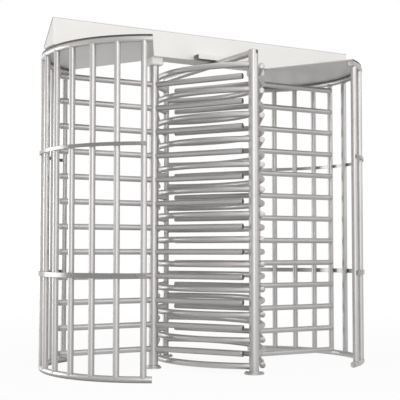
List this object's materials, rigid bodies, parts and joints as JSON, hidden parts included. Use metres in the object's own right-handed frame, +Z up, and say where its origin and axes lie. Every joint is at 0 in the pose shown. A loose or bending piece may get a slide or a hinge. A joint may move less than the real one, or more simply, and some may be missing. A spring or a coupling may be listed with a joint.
{
  "type": "full height turnstile",
  "caption": "Double full height turnstile: two rotors of straight arms turn between curved tube cages and interleaved guard bars, under one head beam.",
  "frame": {"origin": "on the floor, midway between the two rotor columns, under the middle of the head beam's length", "axes": "+Z up, +X along the head beam from the left lane to the right lane, -Y towards the front"},
  "size_m": [2.4464, 1.3932, 2.3587],
  "materials": {
    "satin_tube": "satin",
    "flange_steel": "satin, a little darker",
    "lock_steel": "machined",
    "beam_paint": "off-white satin",
    "housing_paint": "pale satin",
    "roof_grey": "grey matt",
    "grey_plastic": "matt"
  },
  "bodies": {
    "frame": {"left_floor_bearing": "flange_steel", "right_floor_bearing": "flange_steel", "left_bearing_housing": "housing_paint", "right_bearing_housing": "housing_paint", "left_cage_bottom_ring": "satin_tube", "left_cage_top_ring": "satin_tube", "left_cage_upright_01": "satin_tube", "left_cage_upright_02": "satin_tube", "left_cage_upright_03": "satin_tube", "left_cage_upright_04": "satin_tube", "left_cage_upright_05": "satin_tube", "left_cage_upright_06": "satin_tube", "left_cage_upright_07": "satin_tube", "left_cage_upright_08": "satin_tube", "left_cage_upright_09": "satin_tube", "left_cage_upright_10": "satin_tube", "left_cage_upper_band": "satin_tube", "left_cage_lower_band": "satin_tube", "left_roof_plate": "roof_grey", "right_cage_bottom_ring": "satin_tube", "right_cage_top_ring": "satin_tube", "right_cage_upright_01": "satin_tube", "right_cage_upright_02": "satin_tube", "right_cage_upright_03": "satin_tube", "right_cage_upright_04": "satin_tube", "right_cage_upright_05": "satin_tube", "right_cage_upright_06": "satin_tube", "right_cage_upright_07": "satin_tube", "right_cage_upright_08": "satin_tube", "right_cage_upright_09": "satin_tube", "right_cage_upright_10": "satin_tube", "right_cage_upper_band": "satin_tube", "right_cage_lower_band": "satin_tube", "right_roof_plate": "roof_grey", "front_post": "satin_tube", "front_post_flange": "flange_steel", "back_post": "satin_tube", "back_post_flange": "flange_steel", "left_guard_bars": "satin_tube", "right_guard_bars": "satin_tube", "cross_tube": "satin_tube", "beam_clamp_bracket": "housing_paint", "head_beam_tray": "beam_paint", "head_beam_cover": "beam_paint", "head_beam_left_end": "beam_paint", "head_beam_right_end": "beam_paint", "control_box": "grey_plastic"},
    "left_rotor": {"left_rotor_column": "satin_tube", "left_rotor_outer_wing": "satin_tube", "left_rotor_front_wing": "satin_tube", "left_rotor_back_wing": "satin_tube", "left_lock_cam": "lock_steel"},
    "right_rotor": {"right_rotor_column": "satin_tube", "right_rotor_outer_wing": "satin_tube", "right_rotor_front_wing": "satin_tube", "right_rotor_back_wing": "satin_tube", "right_lock_cam": "lock_steel"},
    "left_pawl": {"left_lock_pawl": "lock_steel"},
    "right_pawl": {"right_lock_pawl": "lock_steel"}
  },
  "joints": [
    {"name": "left_rotor_turn", "type": "hinge", "parent": "frame", "child": "left_rotor", "pos_m": [-0.428, 0, 0], "axis": [0, 0, 1], "continuous": true},
    {"name": "right_rotor_turn", "type": "hinge", "parent": "frame", "child": "right_rotor", "pos_m": [0.428, 0, 0], "axis": [0, 0, 1], "continuous": true},
    {"name": "left_pawl_release", "type": "hinge", "parent": "frame", "child": "left_pawl", "pos_m": [-0.336, -0.062, 2.184], "axis": [0, 0, 1], "range_deg": [0, 20]},
    {"name": "right_pawl_release", "type": "hinge", "parent": "frame", "child": "right_pawl", "pos_m": [0.52, -0.062, 2.184], "axis": [0, 0, 1], "range_deg": [0, 20]}
  ]
}
